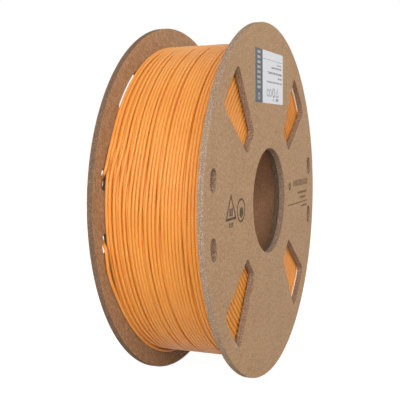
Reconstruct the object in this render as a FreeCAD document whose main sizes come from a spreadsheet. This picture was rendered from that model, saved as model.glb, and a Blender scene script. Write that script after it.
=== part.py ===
import FreeCAD, Part
import math
import os
import Sketcher

# Cardboard filament spool with a full winding, in millimetres.
# The origin is the centre of the bore at mid width. +Y runs along the bore from the
# labelled front flange to the rear flange, and +Z is up with the spool on its rims.

Vector = FreeCAD.Vector

# Driving sizes: alias, value, what it measures
SIZES = [
    ("rim_diameter", "200", "cut rim of both flanges"),
    ("overall_width", "61", "outer liner to outer liner"),
    ("bore_diameter", "60", "spindle bore through both flanges"),
    ("board_thickness", "1.5", "one greyboard ply of a flange"),
    ("liner_thickness", "0.2", "kraft liner on each face of a flange"),
    ("liner_setback", "0.15", "how far a liner stops short of the cut rim"),
    ("window_count", "4", "sight windows in each flange"),
    ("window_turn", "45", "angle of the first window above +X"),
    ("window_span", "20", "angle between the two sides of a window"),
    ("window_core_land", "2", "board between the tube and a window"),
    ("window_rim_land", "10.5", "board between a window and the rim"),
    ("window_corner", "3.5", "corner radius of a window"),
    ("tuck_slot_width", "7.8", "rim slot that holds the filament end, along the radius"),
    ("tuck_slot_length", "11.7", "the same slot across the radius, round ends included"),
    ("tuck_slot_inset", "11", "rim to the centre of a tuck slot"),
    ("tuck_slot_spread", "10.6", "angle of a tuck slot above or below the X axis"),
    ("tube_outer_diameter", "90", "outside of the core tube"),
    ("tube_body_thickness", "2.2", "greyboard body of the core tube"),
    ("tube_wrap_thickness", "0.4", "kraft wrap inside and outside the tube body"),
    ("hub_ring_thickness", "3.4", "board ring glued inside each tube end"),
    ("hub_ring_setback", "0.5", "hub ring bore behind the flange bore"),
    ("hub_ring_play", "0.2", "glue gap between hub ring and tube"),
    ("glue_bead_leg", "1.4", "leg of the glue fillet behind a hub ring"),
    ("label_width", "51.7", "paper label along X"),
    ("label_height", "29.1", "paper label along Z"),
    ("label_rim_gap", "15.7", "top edge of the label below the rim"),
    ("label_corner", "0.8", "corner radius of the label"),
    ("label_thickness", "0.1", "label paper with its glue"),
    ("strand_diameter", "1.75", "filament"),
    ("winding_rim_gap", "10.6", "top of the winding below the rim"),
    ("winding_side_gap", "0.15", "strand to the flange at each end of the layer"),
    ("winding_seat_gap", "0.3", "free play around the packed inner winding"),
    ("layer_turns", "18", "turns in the outer layer"),
    ("last_turn_angle", "152", "where the outer layer ends, above +X"),
    ("start_hole_diameter", "3", "hole in the tube for the first end"),
    ("start_hole_offset", "12", "start hole from mid width towards the rear"),
    ("start_bend_radius", "5.3", "bend of the first end inside the tube"),
    ("start_end_length", "16", "straight end of the filament inside the tube"),
]

# Sums of the driving sizes that several pieces share
HALF_WIDTH = "Sizes.overall_width / 2"
FLANGE = "(2 * Sizes.board_thickness + 2 * Sizes.liner_thickness)"
INNER_FACE = f"({HALF_WIDTH} - {FLANGE})"
TUBE_OUTER = "Sizes.tube_outer_diameter / 2"
TUBE_INNER = f"({TUBE_OUTER} - Sizes.tube_body_thickness - 2 * Sizes.tube_wrap_thickness)"
WINDING_TOP = "(Sizes.rim_diameter / 2 - Sizes.winding_rim_gap)"

# Upright turn of a body drawn flat: its Y becomes +Z and its Z becomes -Y
UPRIGHT = FreeCAD.Rotation(Vector(1, 0, 0), 90)
# The same turn the other way round: its Z becomes +Y
FACING_REAR = FreeCAD.Rotation(Vector(1, 0, 0), -90)

# Angle of a pattern or a turned body that closes on itself, in degrees
FULL_TURN = 360

# Sides of a flange that have a pair of tuck slots, opposite each other
TUCK_SIDES = 2

# Biarcs that follow one turn of the outer layer, and points measured on each of their arcs
TURN_BIARCS = 2
ARC_POINTS = 16

# Share of the shorter run that each bend of the filament's path may take at one end
BEND_SHARE = 0.45

# The tail leaves the last turn, goes out by the upper tuck slot of the rear flange,
# down its outer face, back in by the lower slot, and lies on between flange and winding.
TAIL_POINTS = [
    (-78.98, 26.08, 40.01),
    (-84.7, 25.9, 29.2),
    (-89.2, 25.9, 19.0),
    (-89.6, 31.9, 11.6),
    (-89.4, 32.0, 3.6),
    (-89.5, 31.95, -4.2),
    (-89.9, 31.9, -11.6),
    (-90.1, 25.8, -18.9),
    (-87.3, 25.95, -30.4),
    (-80.2, 26.05, -43.6),
    (-69.6, 26.05, -58.0),
    (-54.8, 26.05, -71.9),
    (-37.4, 26.05, -82.7),
    (-17.8, 26.05, -89.6),
    (3.2, 26.05, -91.4),
    (23.9, 26.05, -88.2),
]

document = FreeCAD.newDocument("FilamentSpool")


def make_sheet():
    """Put the driving sizes in a spreadsheet, one named cell each."""
    page = document.addObject("Spreadsheet::Sheet", "Sizes")
    for row, (alias, value, meaning) in enumerate(SIZES, start=1):
        page.set(f"A{row}", meaning)
        page.set(f"B{row}", value)
        page.setAlias(f"B{row}", alias)
    document.recompute()
    return page


sheet = make_sheet()


def size(alias):
    """Read one driving size."""
    return float(sheet.get(alias))


def half_inner_width():
    """Work out the distance from mid width to the inner face of a flange."""
    flange = 2 * size("board_thickness") + 2 * size("liner_thickness")
    return size("overall_width") / 2 - flange


def tube_inside():
    """Work out the inner radius of the core tube."""
    wall = size("tube_body_thickness") + 2 * size("tube_wrap_thickness")
    return size("tube_outer_diameter") / 2 - wall


def origin_part(body, role):
    """Find a plane or an axis of the body's own origin."""
    return next(part for part in body.Origin.OriginFeatures if part.Role == role)


def new_body(name, place, turn=UPRIGHT):
    """Start a body whose distance along the bore follows an expression."""
    body = document.addObject("PartDesign::Body", name)
    body.Label = name
    body.Placement = FreeCAD.Placement(Vector(0, 0, 0), turn)
    body.setExpression("Placement.Base.y", place)
    return body


def new_sketch(body, name, plane="XY_Plane"):
    """Start a sketch on one plane of the body's origin."""
    sketch = body.newObject("Sketcher::SketchObject", f"{body.Name}_{name}")
    sketch.AttachmentSupport = [(origin_part(body, plane), "")]
    sketch.MapMode = "FlatFace"
    return sketch


def constrain(sketch, name, expression, *terms):
    """Add a named dimension that follows an expression."""
    index = sketch.addConstraint(Sketcher.Constraint(*terms))
    sketch.renameConstraint(index, name)
    sketch.setExpression(f"Constraints.{name}", expression)


def add_circle(sketch, name, radius, start_radius):
    """Draw a circle about the sketch origin."""
    circle = sketch.addGeometry(Part.Circle(Vector(0, 0, 0), Vector(0, 0, 1), start_radius))
    sketch.addConstraint(Sketcher.Constraint("Coincident", circle, 3, -1, 1))
    constrain(sketch, name, radius, "Radius", circle, start_radius)


def pad_ring(body, outer, inner, length):
    """Pad a flat ring upwards from the sketch plane."""
    sketch = new_sketch(body, "outline")
    add_circle(sketch, "outer_radius", outer, size("rim_diameter") / 2)
    add_circle(sketch, "inner_radius", inner, size("bore_diameter") / 2)
    pad = body.newObject("PartDesign::Pad", f"{body.Name}_pad")
    pad.Profile = sketch
    pad.setExpression("Length", length)


def pocket_through(body, sketch, name):
    """Cut a sketch right through the pad that stands on its plane."""
    pocket = body.newObject("PartDesign::Pocket", f"{body.Name}_{name}")
    pocket.Profile = sketch
    pocket.Type = "ThroughAll"
    pocket.Reversed = True
    return pocket


def repeat_round(body, feature, name, copies):
    """Repeat a feature evenly round the bore."""
    pattern = body.newObject("PartDesign::PolarPattern", f"{body.Name}_{name}")
    pattern.Originals = [feature]
    pattern.Axis = (origin_part(body, "Z_Axis"), [""])
    pattern.Angle = FULL_TURN
    pattern.setExpression("Occurrences", copies)
    body.Tip = pattern


def window_outline(sketch):
    """Draw one window as a sector about the X axis with four rounded corners."""
    outer = size("rim_diameter") / 2 - size("window_rim_land")
    inner = size("tube_outer_diameter") / 2 + size("window_core_land")
    corner = size("window_corner")
    side = math.radians(size("window_span") / 2)
    normal = Vector(0, 0, 1)
    outer_turn = side - math.asin(corner / (outer - corner))
    inner_turn = side - math.asin(corner / (inner + corner))
    outer_reach = math.sqrt((outer - corner) ** 2 - corner ** 2)
    inner_reach = math.sqrt((inner + corner) ** 2 - corner ** 2)

    def polar(radius, angle):
        return Vector(radius * math.cos(angle), radius * math.sin(angle), 0)

    def arc(centre, radius, first, last):
        return Part.ArcOfCircle(Part.Circle(centre, normal, radius), first, last)

    middle = Vector(0, 0, 0)
    quarter = math.pi / 2
    sketch.addGeometry([
        arc(middle, outer, -outer_turn, outer_turn),
        arc(polar(outer - corner, outer_turn), corner, outer_turn, side + quarter),
        Part.LineSegment(polar(inner_reach, side), polar(outer_reach, side)),
        arc(polar(inner + corner, inner_turn), corner, side + quarter, inner_turn + math.pi),
        arc(middle, inner, -inner_turn, inner_turn),
        arc(polar(inner + corner, -inner_turn), corner, math.pi - inner_turn, 3 * quarter - side),
        Part.LineSegment(polar(inner_reach, -side), polar(outer_reach, -side)),
        arc(polar(outer - corner, -outer_turn), corner, -side - quarter, -outer_turn),
    ])
    joints = [(0, 2, 1, 1), (1, 2, 2, 2), (2, 1, 3, 1), (3, 2, 4, 2),
              (4, 1, 5, 1), (5, 2, 6, 1), (6, 2, 7, 1), (7, 2, 0, 1)]
    for joint in joints:
        sketch.addConstraint(Sketcher.Constraint("Tangent", *joint))
    for ring in (0, 4):
        sketch.addConstraint(Sketcher.Constraint("Coincident", ring, 3, -1, 1))
    for line in (2, 6):
        sketch.addConstraint(Sketcher.Constraint("PointOnObject", -1, 1, line))
    for copy in (3, 5, 7):
        sketch.addConstraint(Sketcher.Constraint("Equal", 1, copy))
    constrain(sketch, "outer_end", "Sizes.rim_diameter / 2 - Sizes.window_rim_land", "Radius", 0, outer)
    constrain(sketch, "inner_end", f"{TUBE_OUTER} + Sizes.window_core_land", "Radius", 4, inner)
    constrain(sketch, "corner", "Sizes.window_corner", "Radius", 1, corner)
    constrain(sketch, "upper_side", "Sizes.window_span / 2", "Angle", -1, 2, side)
    constrain(sketch, "lower_side", "Sizes.window_span / 2", "Angle", 6, -1, side)


def half_circle(centre, radius, start):
    """Draw half a circle, anticlockwise from an angle."""
    circle = Part.Circle(centre, Vector(0, 0, 1), radius)
    return Part.ArcOfCircle(circle, start, start + math.pi)


def tuck_slot_outline(sketch):
    """Draw the pair of tuck slots on the +X side, each with round ends and lying across the radius."""
    reach = size("rim_diameter") / 2 - size("tuck_slot_inset")
    radius = size("tuck_slot_width") / 2
    run = (size("tuck_slot_length") - size("tuck_slot_width")) / 2
    slot_reach = "(Sizes.rim_diameter / 2 - Sizes.tuck_slot_inset)"
    slot_run = "(Sizes.tuck_slot_length - Sizes.tuck_slot_width) / 2"
    spread = "Sizes.tuck_slot_spread * 1 deg"
    for name, sign in (("upper", 1), ("lower", -1)):
        side = sign * math.radians(size("tuck_slot_spread"))
        outward = Vector(math.cos(side), math.sin(side), 0)
        upward = Vector(-math.sin(side), math.cos(side), 0)
        top = outward * reach + upward * run
        bottom = outward * reach - upward * run
        wide = outward * radius
        first = sketch.addGeometry(half_circle(top, radius, side))
        sketch.addGeometry(Part.LineSegment(top - wide, bottom - wide))
        last = sketch.addGeometry(half_circle(bottom, radius, side + math.pi))
        sketch.addGeometry(Part.LineSegment(bottom + wide, top + wide))
        for joint in ((first, 2, first + 1, 1), (first + 1, 2, last, 1),
                      (last, 2, last + 1, 1), (last + 1, 2, first, 1)):
            sketch.addConstraint(Sketcher.Constraint("Tangent", *joint))
        sketch.addConstraint(Sketcher.Constraint("Equal", first, last))
        constrain(sketch, f"{name}_width", "Sizes.tuck_slot_width / 2", "Radius", first, radius)
        for end, way, curve, centre in (("top", 1, first, top), ("bottom", -1, last, bottom)):
            along = f"{slot_reach} * cos({spread}) - {sign * way} * {slot_run} * sin({spread})"
            across = f"{sign} * {slot_reach} * sin({spread}) + {way} * {slot_run} * cos({spread})"
            constrain(sketch, f"{name}_{end}_along", along, "DistanceX", -1, 1, curve, 3, centre.x)
            constrain(sketch, f"{name}_{end}_across", across, "DistanceY", -1, 1, curve, 3, centre.y)


def flange_ply(name, place, thickness, setback):
    """Build one ply of a flange: a ring with sight windows and tuck slots."""
    body = new_body(name, place)
    pad_ring(body, f"Sizes.rim_diameter / 2 - {setback}", "Sizes.bore_diameter / 2", thickness)

    window = new_sketch(body, "window")
    window_outline(window)
    window.setExpression("AttachmentOffset.Rotation.Angle", "Sizes.window_turn")
    document.recompute()
    cut = pocket_through(body, window, "window_cut")
    repeat_round(body, cut, "windows", "Sizes.window_count")

    slots = new_sketch(body, "tuck_pair")
    tuck_slot_outline(slots)
    cut = pocket_through(body, slots, "tuck_cut")
    repeat_round(body, cut, "tuck_slots", str(TUCK_SIDES))
    return body


def build_flange(side, sign):
    """Build the four plies of one flange, from its inner face outwards."""
    plies = [
        ("inner_liner", "Sizes.liner_thickness", "Sizes.liner_setback"),
        ("inner_board", "Sizes.board_thickness", "0"),
        ("outer_board", "Sizes.board_thickness", "0"),
        ("outer_liner", "Sizes.liner_thickness", "Sizes.liner_setback"),
    ]
    near = INNER_FACE
    bodies = []
    for ply, thickness, setback in plies:
        far = f"{near} + {thickness}"
        place = f"-({near})" if sign < 0 else far
        bodies.append(flange_ply(f"{side}_{ply}", place, thickness, setback))
        near = far
    return bodies


def build_ring(name, outer, inner, length, place):
    """Build a plain ring about the bore, from its rear end forwards."""
    body = new_body(name, place)
    pad_ring(body, outer, inner, length)
    return body


def build_hub_rings():
    """Build the board ring that centres each end of the core tube."""
    outer = f"{TUBE_INNER} - Sizes.hub_ring_play"
    inner = "Sizes.bore_diameter / 2 + Sizes.hub_ring_setback"
    length = "Sizes.hub_ring_thickness"
    return [
        build_ring("front_hub_ring", outer, inner, length, f"{length} - {INNER_FACE}"),
        build_ring("rear_hub_ring", outer, inner, length, INNER_FACE),
    ]


def glue_bead(name, place, turn):
    """Build the glue fillet between the tube and the inner face of a hub ring."""
    body = new_body(name, place, turn)
    sketch = new_sketch(body, "section", "XZ_Plane")
    leg = size("glue_bead_leg")
    wall = tube_inside()
    corner = Vector(wall, 0, 0)
    foot = Vector(wall - leg, 0, 0)
    top = Vector(wall, leg, 0)
    sketch.addGeometry([Part.LineSegment(foot, corner), Part.LineSegment(corner, top),
                        Part.LineSegment(top, foot)])
    for joint in ((0, 2, 1, 1), (1, 2, 2, 1), (2, 2, 0, 1)):
        sketch.addConstraint(Sketcher.Constraint("Coincident", *joint))
    sketch.addConstraint(Sketcher.Constraint("PointOnObject", 0, 1, -1))
    sketch.addConstraint(Sketcher.Constraint("Horizontal", 0))
    sketch.addConstraint(Sketcher.Constraint("Vertical", 1))
    constrain(sketch, "wall", TUBE_INNER, "DistanceX", -1, 1, 0, 2, wall)
    constrain(sketch, "foot", "Sizes.glue_bead_leg", "DistanceX", 0, 1, 0, 2, leg)
    constrain(sketch, "rise", "Sizes.glue_bead_leg", "DistanceY", 1, 1, 1, 2, leg)
    turned = body.newObject("PartDesign::Revolution", f"{name}_turned")
    turned.Profile = sketch
    turned.ReferenceAxis = (sketch, ["V_Axis"])
    turned.Angle = FULL_TURN
    return body


def build_tube():
    """Build the core tube: kraft lining, greyboard body and kraft wrap."""
    wrap = "Sizes.tube_wrap_thickness"
    layers = [
        ("core_tube_lining", f"{TUBE_INNER} + {wrap}", TUBE_INNER),
        ("core_tube_body", f"{TUBE_OUTER} - {wrap}", f"{TUBE_INNER} + {wrap}"),
        ("core_tube_wrap", TUBE_OUTER, f"{TUBE_OUTER} - {wrap}"),
    ]
    bodies = []
    for name, outer, inner in layers:
        body = build_ring(name, outer, inner, f"2 * {INNER_FACE}", INNER_FACE)
        cut_start_hole(body)
        bodies.append(body)
    return bodies


def cut_start_hole(body):
    """Cut the hole that holds the first end, through the tube wall on the -X side."""
    sketch = new_sketch(body, "start_hole", "YZ_Plane")
    radius = size("start_hole_diameter") / 2
    height = half_inner_width() - size("start_hole_offset")
    hole = sketch.addGeometry(Part.Circle(Vector(0, height, 0), Vector(0, 0, 1), radius))
    sketch.addConstraint(Sketcher.Constraint("PointOnObject", hole, 3, -2))
    constrain(sketch, "start_size", "Sizes.start_hole_diameter / 2", "Radius", hole, radius)
    constrain(sketch, "start_height", f"{INNER_FACE} - Sizes.start_hole_offset",
              "DistanceY", -1, 1, hole, 3, height)
    document.recompute()
    before = body.Shape.Volume
    pocket = body.newObject("PartDesign::Pocket", f"{body.Name}_start_cut")
    pocket.Profile = sketch
    pocket.Type = "Length"
    pocket.setExpression("Length", "Sizes.tube_outer_diameter")
    document.recompute()
    print(f"{body.Label}: start hole takes {before - body.Shape.Volume:.2f} mm3")


def build_label():
    """Build the paper label on the front face."""
    body = new_body("front_label", f"-{HALF_WIDTH}")
    sketch = new_sketch(body, "outline")
    half = size("label_width") / 2
    top = size("rim_diameter") / 2 - size("label_rim_gap")
    bottom = top - size("label_height")
    corners = [Vector(-half, bottom, 0), Vector(half, bottom, 0), Vector(half, top, 0), Vector(-half, top, 0)]
    for index, corner in enumerate(corners):
        sketch.addGeometry(Part.LineSegment(corner, corners[(index + 1) % len(corners)]))
    for index in range(len(corners)):
        follower = (index + 1) % len(corners)
        sketch.addConstraint(Sketcher.Constraint("Coincident", index, 2, follower, 1))
    for direction, line in (("Horizontal", 0), ("Vertical", 1), ("Vertical", 3)):
        sketch.addConstraint(Sketcher.Constraint(direction, line))
    sketch.addConstraint(Sketcher.Constraint("Symmetric", 2, 1, 2, 2, -2))
    constrain(sketch, "width", "Sizes.label_width", "DistanceX", 0, 1, 0, 2, 2 * half)
    constrain(sketch, "height", "Sizes.label_height", "DistanceY", 1, 1, 1, 2, top - bottom)
    constrain(sketch, "top_edge", "Sizes.rim_diameter / 2 - Sizes.label_rim_gap",
              "DistanceY", -1, 1, 2, 1, top)
    pad = body.newObject("PartDesign::Pad", "front_label_pad")
    pad.Profile = sketch
    pad.setExpression("Length", "Sizes.label_thickness")
    document.recompute()
    upright = [f"Edge{index}" for index, edge in enumerate(pad.Shape.Edges, start=1)
               if edge.BoundBox.ZLength > size("label_thickness") / 2]
    rounded = body.newObject("PartDesign::Fillet", "front_label_corners")
    rounded.Base = (pad, upright)
    rounded.setExpression("Radius", "Sizes.label_corner")
    return body


def build_inner_winding():
    """Build the packed inner winding as one plain ring under the outer layer."""
    gap = "Sizes.winding_seat_gap"
    outer = f"{WINDING_TOP} - Sizes.strand_diameter - {gap}"
    inner = f"{TUBE_OUTER} + {gap}"
    return build_ring("filament_inner_winding", outer, inner,
                      f"2 * ({INNER_FACE} - {gap})", f"{INNER_FACE} - {gap}")


def leg_arc(start, corner, end):
    """Draw the arc that leaves start towards corner and reaches end from it, on equal legs."""
    middle = (start + end) * 0.5
    half_cosine = start.distanceToPoint(middle) / start.distanceToPoint(corner)
    lift = half_cosine / (1 + half_cosine)
    return Part.Arc(start, middle + (corner - middle) * lift, end)


def biarc(start, start_way, end, end_way):
    """Join two points and their directions by two arcs that meet smoothly."""
    chord = end - start
    ways = start_way + end_way
    square = ways.dot(ways) - 4
    linear = -2 * chord.dot(ways)
    leg = (-linear - math.sqrt(linear ** 2 - 4 * square * chord.dot(chord))) / (2 * square)
    first = start + start_way * leg
    second = end - end_way * leg
    meeting = (first + second) * 0.5
    return [leg_arc(start, first, meeting), leg_arc(meeting, second, end)]


def pipe(curves, diameter):
    """Sweep a round section along a chain of curves into one solid."""
    path = Part.Wire([curve.toShape() for curve in curves])
    first = curves[0]
    start = first.value(first.FirstParameter)
    way = first.tangent(first.FirstParameter)[0]
    section = Part.Wire([Part.Circle(start, way, diameter / 2).toShape()])
    shell = Part.BRepOffsetAPI.MakePipeShell(path)
    shell.add(section)
    shell.build()
    shell.makeSolid()
    solid = shell.shape()
    ideal = path.Length * math.pi * diameter ** 2 / 4
    print(f"tube: length {path.Length:.1f} mm, volume over section times length {solid.Volume / ideal:.5f}")
    return solid


def layer_point(turn, radius, pitch, first_angle, first_place):
    """Give the place and direction of the outer layer's centre line after some turns."""
    angle = first_angle + 2 * math.pi * turn
    place = Vector(radius * math.cos(angle), first_place + pitch * turn, radius * math.sin(angle))
    rise = pitch / (2 * math.pi)
    way = Vector(-radius * math.sin(angle), rise, radius * math.cos(angle)).normalize()
    return place, way


def least_gap(curves, diameter):
    """Measure the least gap between turns, on points along the centre line."""
    points = []
    for curve in curves:
        span = curve.LastParameter - curve.FirstParameter
        points += [curve.value(curve.FirstParameter + span * step / ARC_POINTS)
                   for step in range(ARC_POINTS)]
    per_turn = 2 * TURN_BIARCS * ARC_POINTS
    least = math.inf
    for index, point in enumerate(points):
        others = points[index + per_turn // 2:index + per_turn + per_turn // 2]
        least = min([least] + [point.distanceToPoint(other) for other in others])
    return least - diameter


def build_outer_layer():
    """Wind the outer layer as one unbroken tube, each half turn a biarc."""
    strand = size("strand_diameter")
    turns = round(size("layer_turns"))
    radius = size("rim_diameter") / 2 - size("winding_rim_gap") - strand / 2
    last_place = half_inner_width() - size("winding_side_gap") - strand / 2
    pitch = 2 * last_place / turns
    first_angle = math.radians(size("last_turn_angle"))
    spots = [layer_point(step / TURN_BIARCS, radius, pitch, first_angle, -last_place)
             for step in range(TURN_BIARCS * turns + 1)]
    wound = []
    for (start, start_way), (end, end_way) in zip(spots, spots[1:]):
        wound += biarc(start, start_way, end, end_way)
    print(f"outer layer: {turns} turns, pitch {pitch:.3f} mm, "
          f"least gap to itself {least_gap(wound, strand):.3f} mm")
    lead_start, lead_way = spots[0]
    tail_start, tail_way = spots[-1]
    lead = Part.LineSegment(lead_start - lead_way * strand, lead_start)
    run_out = Part.LineSegment(tail_start, tail_start + tail_way * strand)
    print(f"outer layer ends at {run_out.EndPoint}")
    layer = document.addObject("Part::Feature", "filament_outer_layer")
    layer.Label = "filament_outer_layer"
    layer.Shape = pipe([lead] + wound + [run_out], strand)
    return layer


def route_curves(name, points):
    """Turn a route's points into straight runs joined by tangent arcs, and print the radii."""
    curves = []
    start = points[0]
    radii = []
    for before, corner, after in zip(points, points[1:], points[2:]):
        back = (before - corner).normalize()
        ahead = (after - corner).normalize()
        shorter = min(before.distanceToPoint(corner), after.distanceToPoint(corner))
        leg = BEND_SHARE * shorter
        turn = math.pi - back.getAngle(ahead)
        radii.append(leg / math.tan(turn / 2))
        bend = leg_arc(corner + back * leg, corner, corner + ahead * leg)
        curves += [Part.LineSegment(start, corner + back * leg), bend]
        start = corner + ahead * leg
    curves.append(Part.LineSegment(start, points[-1]))
    print(f"{name}: bend radii {[round(radius, 1) for radius in radii]} mm")
    return curves


def build_tail():
    """Lay the filament's outer end through the tuck slots of the rear flange."""
    points = [Vector(*point) for point in TAIL_POINTS]
    tail = document.addObject("Part::Feature", "filament_tail")
    tail.Label = "filament_tail"
    tail.Shape = pipe(route_curves("tail", points), size("strand_diameter"))
    return tail


def build_start_hook():
    """Bend the filament's first end through the start hole and along the tube's inside."""
    strand = size("strand_diameter")
    place = size("start_hole_offset")
    radius = size("start_bend_radius")
    inside = tube_inside()
    outer_end = Vector(-size("tube_outer_diameter") / 2 - size("winding_seat_gap") / 2, place, 0)
    bend_start = Vector(-inside, place, 0)
    corner = Vector(-inside + radius, place, 0)
    bend_end = Vector(-inside + radius, place - radius, 0)
    hidden_end = bend_end - Vector(0, size("start_end_length"), 0)
    hook = document.addObject("Part::Feature", "filament_start_hook")
    hook.Label = "filament_start_hook"
    hook.Shape = pipe([Part.LineSegment(outer_end, bend_start), leg_arc(bend_start, corner, bend_end),
                       Part.LineSegment(bend_end, hidden_end)], strand)
    return hook


def check_and_write(pieces):
    """Stop on any failed object or bad shape, then write each piece to its own file."""
    document.recompute()
    for item in document.Objects:
        if "Invalid" in item.State or "Error" in item.State:
            raise RuntimeError(f"{item.Label} is {item.State}")
    for piece in pieces:
        shape = piece.Shape
        if shape.isNull() or not shape.isValid() or not shape.Solids:
            raise RuntimeError(f"{piece.Label} has no valid solid")
    os.makedirs("parts", exist_ok=True)
    for piece in pieces:
        piece.Shape.exportStep(f"parts/{piece.Label}.step")
        box = piece.Shape.BoundBox
        print(f"{piece.Label}: {piece.Shape.Volume:.1f} mm3, X {box.XMin:.2f} {box.XMax:.2f}, "
              f"Y {box.YMin:.2f} {box.YMax:.2f}, Z {box.ZMin:.2f} {box.ZMax:.2f}")


bead_seat = f"({INNER_FACE} - Sizes.hub_ring_thickness)"
spool = build_flange("front", -1) + build_flange("rear", 1) + build_hub_rings() + build_tube()
spool += [
    glue_bead("front_glue_bead", f"-{bead_seat}", FACING_REAR),
    glue_bead("rear_glue_bead", bead_seat, UPRIGHT),
    build_label(),
    build_inner_winding(),
    build_outer_layer(),
    build_tail(),
    build_start_hook(),
]
check_and_write(spool)
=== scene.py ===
"""Dress a packed cardboard filament spool that is full of orange PLA.

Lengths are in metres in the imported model's own frame: +Y runs along the bore from the
labelled front flange to the rear flange, and +Z is up with the spool on its rims.
"""

import logging
import math
import random
from abc import ABC, abstractmethod
from collections.abc import Callable, Sequence
from dataclasses import dataclass, field
from enum import Enum

import bmesh
import bpy
from mathutils import Matrix, Quaternion, Vector


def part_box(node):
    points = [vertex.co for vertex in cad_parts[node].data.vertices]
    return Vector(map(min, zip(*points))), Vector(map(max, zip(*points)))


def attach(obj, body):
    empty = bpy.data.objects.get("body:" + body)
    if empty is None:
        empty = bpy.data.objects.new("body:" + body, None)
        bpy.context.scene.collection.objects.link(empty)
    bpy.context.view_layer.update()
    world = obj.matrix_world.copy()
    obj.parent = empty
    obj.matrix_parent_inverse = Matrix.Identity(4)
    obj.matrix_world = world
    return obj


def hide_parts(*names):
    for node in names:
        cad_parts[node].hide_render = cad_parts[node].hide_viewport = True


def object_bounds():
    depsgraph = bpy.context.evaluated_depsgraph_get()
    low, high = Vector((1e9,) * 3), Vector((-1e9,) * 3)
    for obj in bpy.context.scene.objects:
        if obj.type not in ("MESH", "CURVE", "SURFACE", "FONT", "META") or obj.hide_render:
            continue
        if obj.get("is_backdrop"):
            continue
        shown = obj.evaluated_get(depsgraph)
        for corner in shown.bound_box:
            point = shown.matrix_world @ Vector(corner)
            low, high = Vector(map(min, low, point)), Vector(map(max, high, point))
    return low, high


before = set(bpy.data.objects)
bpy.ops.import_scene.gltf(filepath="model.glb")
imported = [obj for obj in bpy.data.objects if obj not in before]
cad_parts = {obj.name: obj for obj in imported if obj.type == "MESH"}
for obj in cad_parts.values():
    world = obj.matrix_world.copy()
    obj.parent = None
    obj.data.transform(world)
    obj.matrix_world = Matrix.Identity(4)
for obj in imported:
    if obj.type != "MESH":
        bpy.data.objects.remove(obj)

LOG = logging.getLogger("spool")
MM = 0.001
FULL_TURN = 2 * math.pi
QUARTER_TURN = math.pi / 2
# Corners nearer than this are welded
WELD_GAP = 0.001 * MM

Tree = bpy.types.NodeTree
Node = bpy.types.Node
Socket = bpy.types.NodeSocket
Mesh = bpy.types.Mesh
Colour = tuple[float, float, float, float]
Point = tuple[float, float, float]
Outline = list[tuple[float, float]]
Section = Sequence[tuple[float, float]]
Wave = Callable[[float], float]
# The noise values where a patch begins and where it is full
Spread = tuple[float, float]

# Grain that covers the whole of a surface evenly
EVEN_GRAIN: Spread = (0.3, 0.7)
# The index of refraction taken for paper and for dried PVA alike
PAPER_IOR = 1.47


class End(Enum):
    """The two ends of the spool, by the sign of their Y."""

    FRONT = -1
    REAR = 1

    @property
    def label(self) -> str:
        """The word that the CAD nodes of this end begin with."""
        return self.name.lower()


def linear(code: str) -> Colour:
    """Turn an sRGB hex colour into the linear colour that a shader takes.

    Args:
        code: the colour as #RRGGBB.

    Returns:
        Linear red, green and blue, with full alpha.
    """
    parts = (int(code[start:start + 2], 16) / 255 for start in (1, 3, 5))
    red, green, blue = (p / 12.92 if p <= 0.04045 else ((p + 0.055) / 1.055) ** 2.4 for p in parts)
    return red, green, blue, 1.0


def feed(tree: Tree, node: Node, inputs: dict[int | str, object]) -> None:
    """Fill or link a node's inputs.

    Args:
        tree: the tree that holds the node.
        node: the node.
        inputs: a value, or the socket that feeds it, for each input by name or place.
    """
    for key, value in inputs.items():
        if isinstance(value, Socket):
            tree.links.new(value, node.inputs[key])
        else:
            node.inputs[key].default_value = value


def add_node(tree: Tree, kind: str, settings: dict[str, object] | None = None,
             inputs: dict[int | str, object] | None = None) -> Node:
    """Add a shader node with its options set and its inputs filled or linked.

    Args:
        tree: the tree that gets the node.
        kind: the node's type, without ShaderNode in front.
        settings: options of the node itself.
        inputs: a value, or the socket that feeds it, for each input by name or place.

    Returns:
        The new node.
    """
    node = tree.nodes.new(f"ShaderNode{kind}")
    for option, value in (settings or {}).items():
        setattr(node, option, value)
    feed(tree, node, inputs or {})
    return node


def smooth_wave(rng: random.Random, waves: int) -> Wave:
    """Make a smooth closed wobble round the bore.

    Args:
        rng: the source of its phases.
        waves: how many sines it is the sum of.

    Returns:
        A function of the angle that stays between -1 and 1.
    """
    phases = [rng.uniform(0, FULL_TURN) for _ in range(waves)]
    shares = [1 / (order + 1) for order in range(waves)]

    def wave(angle: float) -> float:
        """Give the wobble at one angle."""
        total = sum(share * math.sin((order + 1) * angle + phase)
                    for order, (share, phase) in enumerate(zip(shares, phases)))
        return total / sum(shares)

    return wave


def between(first: Wave, second: Wave, angle: float, share: float) -> float:
    """Give the value at an angle where the first wobble has passed into the second by a share."""
    return first(angle) * (1 - share) + second(angle) * share


def mesh_from(points: Sequence[Point], faces: Sequence[Sequence[int]], sharp: float) -> Mesh:
    """Build a mesh from its corners and faces.

    Args:
        points: the corners.
        faces: the corners of each face, by number.
        sharp: the angle in degrees from which an edge is sharp.

    Returns:
        The mesh.
    """
    mesh = bpy.data.meshes.new("mesh")
    mesh.from_pydata(points, [], faces)
    return tidy_mesh(mesh, sharp)


def tidy_mesh(mesh: Mesh, sharp: float) -> Mesh:
    """Weld a mesh, turn its faces outwards and keep its edges sharp above an angle.

    Args:
        mesh: the mesh to tidy.
        sharp: the angle in degrees from which an edge is sharp.

    Returns:
        The same mesh.
    """
    shape = bmesh.new()
    shape.from_mesh(mesh)
    bmesh.ops.remove_doubles(shape, verts=shape.verts, dist=WELD_GAP)
    bmesh.ops.recalc_face_normals(shape, faces=shape.faces)
    shape.to_mesh(mesh)
    shape.free()
    mesh.shade_smooth()
    mesh.set_sharp_from_angle(angle=math.radians(sharp))
    return mesh


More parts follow.
